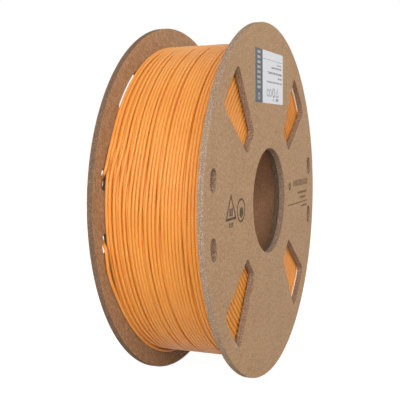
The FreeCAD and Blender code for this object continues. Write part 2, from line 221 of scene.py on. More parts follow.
def band(here: int, there: int, count: int) -> list[tuple[int, int, int, int]]:
    """Give the faces between two hoops of corners that start at these two numbers."""
    pairs = [(side, (side + 1) % count) for side in range(count)]
    return [(here + side, here + past, there + past, there + side) for side, past in pairs]


def turned_mesh(section: Callable[[float], Section], steps: int, sharp: float) -> Mesh:
    """Turn a closed section once round the bore.

    Args:
        section: gives the radius and Y of its corners, in order, at an angle.
        steps: flat strips in the full turn.
        sharp: the angle in degrees from which an edge is sharp.

    Returns:
        The closed ring.
    """
    count = len(section(0))
    points = []
    faces = []
    for step in range(steps):
        angle = FULL_TURN * step / steps
        points += [(radius * math.cos(angle), along, radius * math.sin(angle))
                   for radius, along in section(angle)]
        faces += band(step * count, (step + 1) % steps * count, count)
    return mesh_from(points, faces, sharp)


def arc(middle: tuple[float, float], radius: float, first: float, last: float, steps: int) -> Outline:
    """Draw an arc about a centre, from the first angle up to the last, which is left out."""
    angles = [first + (last - first) * step / steps for step in range(steps)]
    return [(middle[0] + radius * math.cos(angle), middle[1] + radius * math.sin(angle)) for angle in angles]


def strand_mesh(path: Sequence[Point], thickness: float, sides: int) -> Mesh:
    """Sweep a round strand along a path about the bore.

    Args:
        path: angle, radius and Y of the centre line.
        thickness: the strand's diameter.
        sides: the corners of its section.

    Returns:
        The closed tube.
    """
    ring = arc((0, 0), thickness / 2, 0, FULL_TURN, sides)
    points = []
    for angle, radius, along in path:
        east, up = math.cos(angle), math.sin(angle)
        points += [((radius + out) * east, along + across, (radius + out) * up) for out, across in ring]
    faces = []
    for start in range(0, len(points) - sides, sides):
        faces += band(start, start + sides, sides)
    faces += [tuple(range(sides)), tuple(range(len(points) - sides, len(points)))]
    return mesh_from(points, faces, sharp=60)


def die_cut(outlines: Sequence[Outline], low: float, high: float, shoulder: float) -> Mesh:
    """Cut a flat sheet that faces along the bore, with edges that the knife has rounded.

    Args:
        outlines: the outer edge, then the holes, as X and Z.
        low: the Y of its front face.
        high: the Y of its rear face.
        shoulder: how far the knife rounds each edge.

    Returns:
        The closed sheet.
    """
    sheet = bpy.data.curves.new("sheet", "CURVE")
    sheet.dimensions = "2D"
    sheet.fill_mode = "BOTH"
    sheet.extrude = (high - low) / 2 - shoulder
    sheet.bevel_depth = shoulder
    sheet.bevel_resolution = 1
    sheet.offset = -shoulder
    for outline in outlines:
        edge = sheet.splines.new("POLY")
        edge.points.add(len(outline) - 1)
        for knot, (east, up) in zip(edge.points, outline):
            knot.co = (east, up, 0, 1)
        edge.use_cyclic_u = True
    holder = bpy.data.objects.new("sheet", sheet)
    mesh = bpy.data.meshes.new_from_object(holder)
    bpy.data.objects.remove(holder)
    bpy.data.curves.remove(sheet)
    mesh.transform(Matrix.Translation((0, (low + high) / 2, 0)) @ Matrix.Rotation(QUARTER_TURN, 4, "X"))
    mesh.materials.clear()
    return tidy_mesh(mesh, sharp=20)


def outlined(tree: Tree, reach: Socket, size: float, line: float) -> Socket:
    """Keep only a line along a figure's outline.

    Args:
        tree: the material's node tree.
        reach: how far the point lies from the figure's middle, in millimetres.
        size: where the outline lies.
        line: the width of the line.

    Returns:
        A distance in millimetres, below zero in the line.
    """
    past = add_node(tree, "Math", {"operation": "SUBTRACT"}, {0: reach, 1: size})
    away = add_node(tree, "Math", {"operation": "ABSOLUTE"}, {0: past.outputs[0]})
    return add_node(tree, "Math", {"operation": "SUBTRACT"}, {0: away.outputs[0], 1: line / 2}).outputs[0]


@dataclass(frozen=True)
class Mark(ABC):
    """One printed figure on a face that looks along the bore, with its sizes in millimetres."""

    east: float
    up: float

    @property
    def middle(self) -> Point:
        """Where its middle lies."""
        return self.east, 0.0, self.up

    @abstractmethod
    def edge(self, tree: Tree, flat: Socket) -> Socket:
        """Measure how far a point lies outside the ink.

        Args:
            tree: the material's node tree.
            flat: the point being shaded, in millimetres and with its Y taken out.

        Returns:
            A distance in millimetres, below zero in the ink.
        """


@dataclass(frozen=True)
class Bar(Mark):
    """A plain filled oblong, such as a rule or a band."""

    width: float
    height: float

    def edge(self, tree: Tree, flat: Socket) -> Socket:
        """Measure to the nearer pair of sides.

        Args:
            tree: the material's node tree.
            flat: the point being shaded, in millimetres and with its Y taken out.

        Returns:
            A distance in millimetres, below zero in the ink.
        """
        off = add_node(tree, "VectorMath", {"operation": "SUBTRACT"}, {0: flat, 1: self.middle})
        away = add_node(tree, "VectorMath", {"operation": "ABSOLUTE"}, {0: off.outputs[0]})
        past = add_node(tree, "VectorMath", {"operation": "SUBTRACT"},
                        {0: away.outputs[0], 1: (self.width / 2, 0, self.height / 2)})
        split = add_node(tree, "SeparateXYZ", None, {0: past.outputs[0]})
        return add_node(tree, "Math", {"operation": "MAXIMUM"},
                        {0: split.outputs["X"], 1: split.outputs["Z"]}).outputs[0]


@dataclass(frozen=True)
class Ring(Mark):
    """A plain ring."""

    radius: float
    line: float

    def edge(self, tree: Tree, flat: Socket) -> Socket:
        """Measure to the line on either side of the circle."""
        reach = add_node(tree, "VectorMath", {"operation": "DISTANCE"}, {0: flat, 1: self.middle})
        return outlined(tree, reach.outputs["Value"], self.radius, self.line)


@dataclass(frozen=True)
class Triangle(Mark):
    """A plain triangle that stands on its base, in outline."""

    inner_radius: float
    line: float

    def edge(self, tree: Tree, flat: Socket) -> Socket:
        """Measure to the line on either side of the three sides.

        Args:
            tree: the material's node tree.
            flat: the point being shaded, in millimetres and with its Y taken out.

        Returns:
            A distance in millimetres, below zero in the ink.
        """
        off = add_node(tree, "VectorMath", {"operation": "SUBTRACT"}, {0: flat, 1: self.middle})
        reach = None
        for turn in (-90, 30, 150):
            way = (math.cos(math.radians(turn)), 0, math.sin(math.radians(turn)))
            side = add_node(tree, "VectorMath", {"operation": "DOT_PRODUCT"}, {0: off.outputs[0], 1: way})
            measured = side.outputs["Value"]
            if reach is None:
                reach = measured
            else:
                reach = add_node(tree, "Math", {"operation": "MAXIMUM"}, {0: reach, 1: measured}).outputs[0]
        return outlined(tree, reach, self.inner_radius, self.line)


@dataclass(frozen=True)
class Grain:
    """A fine grain that stands up from a surface evenly."""

    width: float
    depth: float
    strength: float
    detail: float = 2.0


@dataclass(frozen=True)
class Coat:
    """A material while it is being painted."""

    tree: Tree
    shader: Node
    # The point being shaded, in metres
    place: Socket

    @property
    def colour(self) -> Socket:
        """The colour that is painted so far."""
        return self.shader.inputs["Base Color"].links[0].from_socket

    def blotches(self, size: float, spread: Spread, detail: float = 2.0,
                 place: Socket | None = None) -> Socket:
        """Make soft patches of one size.

        Args:
            size: the width of a patch.
            spread: the noise values where a patch begins and where it is full.
            detail: the finer octaves of the noise.
            place: the point to look at, if it isn't the one being shaded.

        Returns:
            A socket from 0 to 1.
        """
        where = self.place if place is None else place
        noise = add_node(self.tree, "TexNoise", None,
                         {"Vector": where, "Scale": 1 / size, "Detail": detail})
        ramp = add_node(self.tree, "MapRange", {"interpolation_type": "SMOOTHSTEP"},
                        {"Value": noise.outputs[0], "From Min": spread[0], "From Max": spread[1]})
        return ramp.outputs[0]

    def streaks(self, turn: float, reach: Point, spread: Spread) -> Socket:
        """Make thin streaks, such as fibres, that all lie one way.

        Args:
            turn: the angle in degrees that turns the streaks about the bore.
            reach: the size of a streak along X, Y and Z before that turn.
            spread: the noise values where a streak begins and where it is full.

        Returns:
            A socket from 0 to 1.
        """
        turned = add_node(self.tree, "Mapping", None,
                          {"Vector": self.place, "Rotation": (0, math.radians(turn), 0)})
        squeezed = add_node(self.tree, "VectorMath", {"operation": "DIVIDE"},
                            {0: turned.outputs[0], 1: reach})
        return self.blotches(1.0, spread, 1.0, squeezed.outputs[0])

    def raised(self, grain: Grain) -> Socket:
        """Raise a grain, and give the normal that shows it."""
        height = self.blotches(grain.width, EVEN_GRAIN, grain.detail)
        return add_node(self.tree, "Bump", None, {"Strength": grain.strength, "Distance": grain.depth,
                                                  "Height": height}).outputs[0]

    def tinted(self, base: Colour | Socket, tint: str, mask: Socket, strength: float) -> Socket:
        """Lay a tint over a colour where a mask says so.

        Args:
            base: the colour below.
            tint: the sRGB hex colour on top.
            mask: where it lies, from 0 to 1.
            strength: how much of it shows where the mask is full.

        Returns:
            The mixed colour.
        """
        share = add_node(self.tree, "Math", {"operation": "MULTIPLY"}, {0: mask, 1: strength})
        mixed = add_node(self.tree, "Mix", {"data_type": "RGBA"},
                         {0: share.outputs[0], 6: base, 7: linear(tint)})
        return mixed.outputs[2]

    def printed(self, marks: Sequence[Mark], blur: float) -> Socket:
        """Print several marks.

        Args:
            marks: what is printed.
            blur: the width over which the ink fades out, in millimetres.

        Returns:
            A socket that is 1 in the ink and 0 outside it.
        """
        flat = add_node(self.tree, "VectorMath", {"operation": "MULTIPLY"},
                        {0: self.place, 1: (1 / MM, 0, 1 / MM)}).outputs[0]
        nearest = marks[0].edge(self.tree, flat)
        for mark in marks[1:]:
            nearest = add_node(self.tree, "Math", {"operation": "MINIMUM"},
                               {0: nearest, 1: mark.edge(self.tree, flat)}).outputs[0]
        ink = add_node(self.tree, "MapRange", None,
                       {"Value": nearest, "From Min": blur / 2, "From Max": -blur / 2})
        return ink.outputs[0]


class Finish(ABC):
    """What a surface is made of, and how it looks."""

    name: str

    def material(self) -> bpy.types.Material:
        """Give the material of this finish, built the first time it is asked for.

        Returns:
            The material.
        """
        if self.name in bpy.data.materials:
            return bpy.data.materials[self.name]
        made = bpy.data.materials.new(self.name)
        made.use_nodes = True
        tree = made.node_tree
        place = add_node(tree, "TexCoord").outputs["Object"]
        self.paint(Coat(tree, tree.nodes["Principled BSDF"], place))
        return made

    @abstractmethod
    def paint(self, coat: Coat) -> None:
        """Fill the material.

        Args:
            coat: the material to fill.
        """


@dataclass(frozen=True)
class KraftPaper(Finish):
    """Unbleached kraft liner, calendered: matt, with fibres and soft clouds in its brown."""

    name: str = "kraft paper"
    pulp: str = "#AE8866"
    shive: str = "#866345"
    pale_fibre: str = "#CCAE8A"
    cloud: str = "#A27C58"
    cloud_width: float = 14 * MM
    cloud_spread: Spread = (0.35, 0.7)
    cloud_strength: float = 0.6
    # Kraft fibres are 2 to 3 mm long and 0.03 mm wide, drawn 0.25 mm wide so that they show
    fibre_length: float = 2.6 * MM
    fibre_width: float = 0.25 * MM
    fibre_spread: Spread = (0.5, 0.66)
    grain: Grain = Grain(0.5 * MM, 0.06 * MM, 0.35)
    roughness: float = 0.82
    specular: float = 0.3

    def paint(self, coat: Coat) -> None:
        """Lay clouds, then dark shives and pale fibres at several angles, over the pulp colour.

        Args:
            coat: the material to fill.
        """
        clouds = coat.blotches(self.cloud_width, self.cloud_spread)
        colour = coat.tinted(linear(self.pulp), self.cloud, clouds, self.cloud_strength)
        reach = (self.fibre_length, self.fibre_width, self.fibre_width)
        for turn, tint, strength in ((15, self.shive, 0.6), (-40, self.pale_fibre, 0.65),
                                     (75, self.shive, 0.5), (110, self.pale_fibre, 0.6)):
            colour = coat.tinted(colour, tint, coat.streaks(turn, reach, self.fibre_spread), strength)
        feed(coat.tree, coat.shader, {"Base Color": colour, "Normal": coat.raised(self.grain),
                                      "IOR": PAPER_IOR, "Roughness": self.roughness,
                                      "Specular IOR Level": self.specular})


@dataclass(frozen=True)
class PrintedKraft(KraftPaper):
    """The same paper, stamped with plain marks in a water-based ink that lets the fibres through."""

    name: str = "printed kraft paper"
    ink: str = "#33281F"
    ink_strength: float = 0.9
    # The width in millimetres over which the ink bleeds into the paper
    bleed: float = 0.3
    worn_spot: float = 0.9 * MM
    worn_spread: Spread = (0.2, 0.52)
    marks: tuple[Mark, ...] = (
        Triangle(-64, -0.1, 3.9, 1.3),
        Bar(-65.4, -0.7, 2.1, 3.8),
        Bar(-62.6, -0.7, 2.1, 3.8),
        Bar(-66.2, -7.1, 1.4, 2.5),
        Bar(-64, -7.1, 1.4, 2.5),
        Bar(-61.8, -7.1, 1.4, 2.5),
        Ring(-49.2, -1, 5.7, 1.2),
        Ring(-48.7, -2.2, 1.4, 2.8),
    )
    # The marks at the right are stamped faintly; the widest is a row of plain strokes
    faint_ink: str = "#4A3628"
    faint_strength: float = 0.8
    faint_marks: tuple[Mark, ...] = (
        Ring(41.5, 5.2, 1.6, 2),
        Bar(71.2, -0.1, 22.6, 1.4),
        Bar(72.5, -3.4, 14.6, 1.3),
        Bar(61, -6.5, 46, 0.8),
        Bar(75.8, -9.2, 14, 1.1),
        *(Bar(51 + 3.2 * stroke, 6.4, 2.2, 4) for stroke in range(11)),
    )

    def paint(self, coat: Coat) -> None:
        """Stamp the marks over the kraft.

        Args:
            coat: the material to fill.
        """
        super().paint(coat)
        colour = coat.colour
        worn = coat.blotches(self.worn_spot, self.worn_spread, 3.0)
        for marks, ink, strength in ((self.marks, self.ink, self.ink_strength),
                                     (self.faint_marks, self.faint_ink, self.faint_strength)):
            stamped = add_node(coat.tree, "Math", {"operation": "MULTIPLY"},
                               {0: coat.printed(marks, self.bleed), 1: worn})
            colour = coat.tinted(colour, ink, stamped.outputs[0], strength)
        feed(coat.tree, coat.shader, {"Base Color": colour})


@dataclass(frozen=True)
class Greyboard(Finish):
    """Recycled greyboard, die-cut: a grey-brown edge with pale and dark flecks in thin layers."""

    name: str = "die-cut greyboard"
    pulp: str = "#9A7F69"
    pale_fleck: str = "#E0C8AF"
    dark_fleck: str = "#68564B"
    # The rim is drawn paler, as painted light where it faces the lamps; the cuts inside it keep the darker
    # pulp, as painted shade
    painted_rim_light: str = "#A88C74"
    rim_light_start: float = 94 * MM
    rim_light_end: float = 98 * MM
    # The board is felted in layers of about 0.2 mm, drawn 0.35 mm thick so that they show
    layer: float = 0.35 * MM
    layer_run: float = 4 * MM
    layer_spread: Spread = (0.4, 0.65)
    layer_strength: float = 0.3
    # Flecks of old print and pulp are 0.2 to 1 mm across
    pale_width: float = 0.55 * MM
    pale_spread: Spread = (0.5, 0.66)
    dark_width: float = 0.44 * MM
    dark_spread: Spread = (0.6, 0.72)
    fleck_strength: float = 0.6
    # The knife tears the cut face a little
    nap: Grain = Grain(0.4 * MM, 0.15 * MM, 0.7, 3.0)
    roughness: float = 0.92
    specular: float = 0.2

    def paint(self, coat: Coat) -> None:
        """Lay thin layers along the board, then pale and dark flecks, over the pulp colour.

        Args:
            coat: the material to fill.
        """
        flat = add_node(coat.tree, "VectorMath", {"operation": "MULTIPLY"}, {0: coat.place, 1: (1, 0, 1)})
        reach = add_node(coat.tree, "VectorMath", {"operation": "LENGTH"}, {0: flat.outputs[0]})
        # Painted light: the board is drawn paler from here out to the rim
        rim = add_node(coat.tree, "MapRange", None,
                       {"Value": reach.outputs["Value"], "From Min": self.rim_light_start,
                        "From Max": self.rim_light_end})
        layers = coat.streaks(0, (self.layer_run, self.layer, self.layer_run), self.layer_spread)
        pale = coat.blotches(self.pale_width, self.pale_spread, 1.0)
        dark = coat.blotches(self.dark_width, self.dark_spread, 3.0)
        colour = linear(self.pulp)
        for tint, mask, strength in ((self.painted_rim_light, rim.outputs[0], 1.0),
                                     (self.dark_fleck, layers, self.layer_strength),
                                     (self.pale_fleck, pale, self.fleck_strength),
                                     (self.dark_fleck, dark, self.fleck_strength)):
            colour = coat.tinted(colour, tint, mask, strength)
        feed(coat.tree, coat.shader, {"Base Color": colour, "Normal": coat.raised(self.nap),
                                      "IOR": PAPER_IOR, "Roughness": self.roughness,
                                      "Specular IOR Level": self.specular})


@dataclass(frozen=True)
class TubeKraft(KraftPaper):
    """Kraft lining wound in a spiral: the same paper drawn paler as painted light in the dim bore, with the
    dark butt of its spiral seam.
    """

    name: str = "spiral kraft lining"
    # The pulp and clouds are paler than the plain kraft's, as painted light inside the dim bore
    pulp: str = "#D49870"
    cloud: str = "#B07C56"
    seam: str = "#5E4530"
    seam_strength: float = 0.12
    # One full turn of the seam moves it this far along the tube
    lead: float = 150 * MM
    # The butt is 0.3 mm wide, drawn 0.6 mm wide so that it shows
    seam_width: float = 0.6 * MM
    first_angle: float = math.radians(30)

    def paint(self, coat: Coat) -> None:
        """Lay the seam, which climbs evenly with the angle round the tube, over the kraft.

        Args:
            coat: the material to fill.
        """
        super().paint(coat)
        tree = coat.tree
        split = add_node(tree, "SeparateXYZ", None, {0: coat.place})
        angle = add_node(tree, "Math", {"operation": "ARCTAN2"},
                         {0: split.outputs["Z"], 1: split.outputs["X"]})
        climbed = add_node(tree, "Math", {"operation": "MULTIPLY_ADD"},
                           {0: angle.outputs[0], 1: -self.lead / FULL_TURN,
                            2: self.lead * self.first_angle / FULL_TURN})
        off = add_node(tree, "Math", {"operation": "ADD"}, {0: split.outputs["Y"], 1: climbed.outputs[0]})
        folded = add_node(tree, "Math", {"operation": "PINGPONG"}, {0: off.outputs[0], 1: self.lead / 2})
        line = add_node(tree, "MapRange", {"interpolation_type": "SMOOTHSTEP"},
                        {"Value": folded.outputs[0], "From Min": self.seam_width,
                         "From Max": self.seam_width / 2})
        colour = coat.tinted(coat.colour, self.seam, line.outputs[0], self.seam_strength)
        feed(tree, coat.shader, {"Base Color": colour})


@dataclass(frozen=True)
class OrangePla(Finish):
    """Extruded PLA in an opaque pastel orange: satin, a little dull where strands have rubbed."""

    name: str = "orange PLA"
    pigment: str = "#F2A64C"
    deeper: str = "#E6943A"
    # The pigment drifts slowly along a strand, over a few centimetres
    drift: float = 22 * MM
    drift_spread: Spread = (0.35, 0.7)
    drift_strength: float = 0.3
    rubbed: float = 3 * MM
    rubbed_spread: Spread = (0.4, 0.7)
    rubbed_dullness: float = 0.12
    roughness: float = 0.42
    ior: float = 1.46
    # Light goes under a milky plastic's skin and comes out warmer
    glow: float = 0.8
    glow_depth: float = 0.8 * MM
    glow_reach: Point = (1.0, 0.75, 0.5)

    def paint(self, coat: Coat) -> None:
        """Lay a slow drift of the pigment and dull rubbed patches over the plastic.

        Args:
            coat: the material to fill.
        """
        drift = coat.blotches(self.drift, self.drift_spread)
        rubbed = coat.blotches(self.rubbed, self.rubbed_spread, 3.0)
        dull = add_node(coat.tree, "Math", {"operation": "MULTIPLY_ADD"},
                        {0: rubbed, 1: self.rubbed_dullness, 2: self.roughness})
        colour = coat.tinted(linear(self.pigment), self.deeper, drift, self.drift_strength)
        feed(coat.tree, coat.shader, {"Base Color": colour, "Roughness": dull.outputs[0], "IOR": self.ior,
                                      "Subsurface Weight": self.glow, "Subsurface Radius": self.glow_reach,
                                      "Subsurface Scale": self.glow_depth})


@dataclass(frozen=True)
class LabelPaper(Finish):
    """Matt coated label paper, printed with a plain dark band, blank rules and plain figures."""

    name: str = "coated label paper"
    white: str = "#DCDBDF"
    band_ink: str = "#44484C"
    band_mark: Bar = Bar(-19.5, 69.75, 12.7, 40)
    band_blur: float = 0.1
    # Plain pale blocks stand down the band, with a ring under them
    block: str = "#B9BABD"
    block_strength: float = 0.65
    blocks: tuple[Mark, ...] = (
        *(Bar(-19.5, 63.5 + 2.7 * step, 5.4, 1.5) for step in range(8)),
        Ring(-19.5, 58.6, 1.5, 0.9),
    )
    ink: str = "#5A5859"
    ink_strength: float = 0.85
    ink_blur: float = 0.2
    marks: tuple[Mark, ...] = (
        Bar(6.4, 79.6, 36, 0.35),
        Bar(18, 77.6, 9, 0.7),
        Bar(12.9, 75.6, 19.8, 1.1),
        Bar(9.6, 72.5, 28, 1.2),
        Bar(19.6, 70, 8, 1),
        Bar(8.8, 67.3, 29.6, 0.9),
        Ring(-3.4, 61.2, 1.9, 0.8),
        Ring(1.4, 61.2, 1.9, 0.8),
        Ring(7.5, 61.4, 2.2, 1.2),
        Triangle(14.3, 61, 1.5, 0.7),
        Bar(6.6, 57.3, 3, 0.8),
        Bar(14, 57.5, 5, 1.7),
    )
    # The rules are broken up like small print, without a letter in them
    break_width: float = 0.9 * MM
    break_spread: Spread = (0.36, 0.5)
    grain: Grain = Grain(0.4 * MM, 0.02 * MM, 0.15)
    roughness: float = 0.55

    def paint(self, coat: Coat) -> None:
        """Print the rules and figures, then the band, on the white paper.

        Args:
            coat: the material to fill.
        """
        broken = coat.blotches(self.break_width, self.break_spread, 1.0)
        small_print = add_node(coat.tree, "Math", {"operation": "MULTIPLY"},
                               {0: coat.printed(self.marks, self.ink_blur), 1: broken})
        band_print = coat.printed((self.band_mark,), self.band_blur)
        block_print = coat.printed(self.blocks, self.ink_blur)
        colour = coat.tinted(linear(self.white), self.ink, small_print.outputs[0], self.ink_strength)
        colour = coat.tinted(colour, self.band_ink, band_print, 1.0)
        colour = coat.tinted(colour, self.block, block_print, self.block_strength)
        feed(coat.tree, coat.shader, {"Base Color": colour, "Normal": coat.raised(self.grain),
                                      "Roughness": self.roughness})


@dataclass(frozen=True)
class WhiteGlue(Finish):
    """Dried PVA glue: a pale amber skin with a soft gloss, stained brown by the board."""

    name: str = "dried PVA glue"
    skin: str = "#C9B188"
    stained: str = "#A8834F"
    stain: float = 5 * MM
    stain_spread: Spread = (0.4, 0.6)
    stain_strength: float = 0.7
    roughness: float = 0.3
    glow: float = 0.3
    glow_depth: float = 1 * MM

    def paint(self, coat: Coat) -> None:
        """Stain the glue with the board's brown in patches.

        Args:
            coat: the material to fill.
        """
        stains = coat.blotches(self.stain, self.stain_spread)
        colour = coat.tinted(linear(self.skin), self.stained, stains, self.stain_strength)
        feed(coat.tree, coat.shader, {"Base Color": colour, "Roughness": self.roughness, "IOR": PAPER_IOR,
                                      "Subsurface Weight": self.glow, "Subsurface Scale": self.glow_depth})


def dress_node(name: str, finish: Finish) -> None:
    """Give a CAD node that stays in view its finish.

    Args:
        name: the node.
        finish: what it is made of.
    """
    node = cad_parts[name]
    node.data.materials.clear()
    node.data.materials.append(finish.material())
    LOG.info("%s: %s", name, finish.name)


def make_piece(name: str, shape: Mesh | bpy.types.Curve, finish: Finish,
               stands_for: Sequence[str] = ()) -> None:
    """Put a finished shape in the scene as a piece that rides on the spool.

    Args:
        name: the piece's name.
        shape: its mesh or curve, in place.
        finish: what it is made of.
        stands_for: the CAD nodes that it replaces.
    """
    shape.name = name
    shape.materials.append(finish.material())
    piece = bpy.data.objects.new(name, shape)
    bpy.context.scene.collection.objects.link(piece)
    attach(piece, "root")
    if stands_for:
        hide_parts(*stands_for)
    LOG.info("%s: %s", name, finish.name)


@dataclass
class Winding:
    """The filament on the core: its outer layer, the layer below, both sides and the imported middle."""

    strand: float = 1.75 * MM
    # Strands of the outer layer that lie together, front to rear, with a groove after each bunch
    bunches: tuple[int, ...] = (6, 6, 1, 3, 1, 3, 1, 1, 1, 1, 2)
    touching: float = 1.77 * MM
    groove_play: float = 0.32
    last_angle: float = math.radians(152)
    # A turn crosses to its own row from here past the last angle, slowly at the front and at
    # the rear within a few degrees, under the rising tail
    crossing_start: float = math.radians(4)
    crossing_ends: tuple[float, float] = (math.radians(96), math.radians(16))
    # The first turn climbs up from the layer below, and rides up on the flange by a little
    first_climb: tuple[float, float] = (math.radians(100), math.radians(160))
    front_rise: float = 0.7 * MM
    # A strand lies up to twice this far below the outermost ones
    sink_depth: float = 0.07 * MM
    # A strand sinks between the two below it, so a layer adds less than a strand
    layer_rise: float = 1.52 * MM
    # The layer below bulges up into the wide grooves of the outer one
    under_rise: float = 1.15 * MM
    # Its turns lie this share of a strand apart
    under_pitch: float = 1.05
    under_steps: int = 120
    # At the sides the strands that lie in the gaps stand back by the step
    side_step: float = 0.55 * MM
    side_sway: float = 0.22 * MM
    side_lean: float = 0.1 * MM
    core_gap: float = 0.3 * MM
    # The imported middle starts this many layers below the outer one
    middle_depth: float = 1.6
    middle_steps: int = 120
    steps: int = 180
    outer_sides: int = 12
    inner_sides: int = 8
    seed: int = 11
    finish: Finish = OrangePla()
    # The sides are drawn dull where they have rubbed on the flanges, and darker and browner as painted shade
    # from the flanges beside them
    side_finish: Finish = OrangePla("rubbed orange PLA", "#E1973F", "#CF8432", roughness=0.5)

    def __post_init__(self) -> None:
        """Take the winding's room from the CAD."""
        low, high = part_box("filament_outer_layer")
        self.radius = high.x - self.strand / 2
        self.half = high.y - self.strand / 2
        self.core_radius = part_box("core_tube_wrap")[1].x
        self.rng = random.Random(self.seed)

    def waves(self, count: int, sines: int) -> list[Wave]:
        """Draw several wobbles, each the sum of so many sines."""
        return [smooth_wave(self.rng, sines) for _ in range(count)]

    def outer_rows(self) -> list[list[float]]:
        """Place every row of the outer layer.

        Returns:
            The Y of each row, for each step of the angle.
        """
        together = [True] * (sum(self.bunches) - 1)
        last = -1
        for bunch in self.bunches[:-1]:
            last += bunch
            together[last] = False
        waves = self.waves(len(together), 3)
        grooves = together.count(False)
        wide = (2 * self.half - self.touching * together.count(True)) / grooves
        table = []
        for step in range(self.steps + 1):
            angle = FULL_TURN * step / self.steps
            pitches = [self.touching if close else wide * (1 + self.groove_play * wave(angle))
                       for close, wave in zip(together, waves)]
            spare = 2 * self.half - sum(pitches)
            pitches = [pitch if close else pitch + spare / grooves for close, pitch in zip(together, pitches)]
            rows = [-self.half]
            for pitch in pitches:
                rows.append(rows[-1] + pitch)
            table.append(rows)
        return table

    def crossed(self, turn: int, turns: int, share: float) -> float:
        """Say how far a turn has crossed to its own row, or the first one has climbed.

        Args:
            turn: the turns that are complete.
            turns: all turns of the layer.
            share: the part of this turn that is done.

        Returns:
            A share from 0, in the row before, to 1.
        """
        slow, quick = self.crossing_ends
        start, end = self.crossing_start, slow + (quick - slow) * turn / (turns - 1)
        if turn == 0:
            start, end = self.first_climb
        way = min(max((share * FULL_TURN - start) / (end - start), 0.0), 1.0)
        return way * way * (3 - 2 * way)

    def lift(self, turn: int, way: float) -> float:
        """Say how far a strand lies above its layer, which it does only at the front.

        Args:
            turn: the turns that are complete.
            way: how far this one has crossed or climbed.

        Returns:
            The height, below zero while it climbs up from the layer below.
        """
        if turn == 0:
            return (self.under_rise + self.front_rise) * way - self.under_rise
        return self.front_rise * (1 - way) if turn == 1 else 0.0

    def outer_layer(self) -> None:
        """Wind the outer layer as one strand, which climbs up at the front and moves over a row a turn."""
        table = self.outer_rows()
        turns = len(table[0])
        sink = self.waves(turns, 4)
        path = []
        for turn in range(turns):
            for step in range(self.steps):
                share = step / self.steps
                way = self.crossed(turn, turns, share)
                rows = table[step]
                along = rows[0] if turn == 0 else rows[turn - 1] * (1 - way) + rows[turn] * way
                angle = self.last_angle + FULL_TURN * share
                dip = between(sink[turn], sink[(turn + 1) % turns], angle, share)
                radius = self.radius + self.lift(turn, way) - self.sink_depth * (1 + dip)
                path.append((angle, radius, along))
        run_out = self.strand / self.radius
        for angle in (self.last_angle, self.last_angle + run_out):
            path.append((angle, self.radius, self.half))
        mesh = strand_mesh(path, self.strand, self.outer_sides)
        make_piece("filament_outer_strands", mesh, self.finish, ["filament_outer_layer"])

    def under_layer(self) -> None:
        """Wind the layer below, the other way, with a whole turn at each flange."""
        half = self.half - self.strand / 2
        turns = int(2 * half / (self.under_pitch * self.strand))
        path = []
        for step in range((turns + 2) * self.under_steps + 1):
            turned = step / self.under_steps
            way = min(max((turned - 1) / turns, 0.0), 1.0)
            path.append((-FULL_TURN * turned, self.radius - self.under_rise, half * (2 * way - 1)))
        mesh = strand_mesh(path, self.strand, self.inner_sides)
        make_piece("filament_under_layer", mesh, self.finish)

    def side_coil(self, end: End, proud: bool) -> None:
        """Lay the strands that show at one side, every second layer of the winding.

        Args:
            end: the side of the winding.
            proud: whether these strands touch the flange or lie in the gaps between those that do.
        """
        pitch = 2 * self.layer_rise
        top = self.radius - pitch if proud else self.radius - self.layer_rise - pitch
        place = self.half if proud else self.half - self.side_step
        turns = int((top - self.core_radius - self.strand / 2) / pitch)
        wobble = self.waves(turns + 1, 3)
        lean = self.waves(turns + 1, 3)
        path = []
        for turn in range(turns):
            for step in range(self.steps):
                share = step / self.steps
                angle = FULL_TURN * share
                sway = between(wobble[turn], wobble[turn + 1], angle, share)
                tilt = between(lean[turn], lean[turn + 1], angle, share)
                radius = top - pitch * (turns - turn - share) + self.side_sway * sway
                path.append((angle, radius, end.value * (place - self.side_lean * (1 + tilt))))
        kind = "proud" if proud else "sunk"
        mesh = strand_mesh(path, self.strand, self.inner_sides)
        make_piece(f"filament_{end.label}_{kind}_strands", mesh, self.side_finish)

    def packed_middle(self) -> None:
        """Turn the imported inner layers, which only show in the gaps between strands."""
        top = self.radius - self.middle_depth * self.layer_rise
        foot = self.core_radius + self.core_gap
        half = self.half - self.strand
        section = [(foot, -half), (top, -half), (top, half), (foot, half)]
        mesh = turned_mesh(lambda angle: section, self.middle_steps, sharp=30)
        make_piece("filament_packed_middle", mesh, self.finish, ["filament_inner_winding"])

    def build(self) -> None:
        """Build every layer of the winding."""
        self.outer_layer()
        self.under_layer()
        for end in End:
            for proud in (True, False):
                self.side_coil(end, proud)
        self.packed_middle()


# The tail's route in millimetres; its first points were moved to the photograph's line
TAIL_ROUTE = (
    (-78.98, 26.08, 40.01),
    (-84.6, 25.95, 29.9),
    (-89.5, 25.2, 21.2),
    (-87.2, 28.7, 17.6),
    (-84.0, 31.95, 14.0),
    (-83.4, 31.8, 5.4),
    (-83.5, 31.8, -4.4),
    (-85.1, 32.1, -12.4),
    (-88.2, 28.5, -15.3),
    (-90.8, 25.2, -19.0),
    (-88.3, 25.9, -30.8),
    (-80.2, 26.05, -43.6),
    (-69.6, 26.05, -58.0),
    (-54.8, 26.05, -71.9),
    (-37.4, 26.05, -82.7),
    (-17.8, 26.05, -89.6),
    (3.2, 26.05, -91.4),
    (23.9, 26.05, -88.2),
)
# The first end's route in millimetres, from the winding through the tube's hole
START_ROUTE = (
    (-45.15, 12.0, 0.0),
    (-42.0, 12.0, 0.0),
    (-36.7, 12.0, 0.0),
    (-36.7, 6.7, 0.0),
    (-36.7, -9.3, 0.0),
)


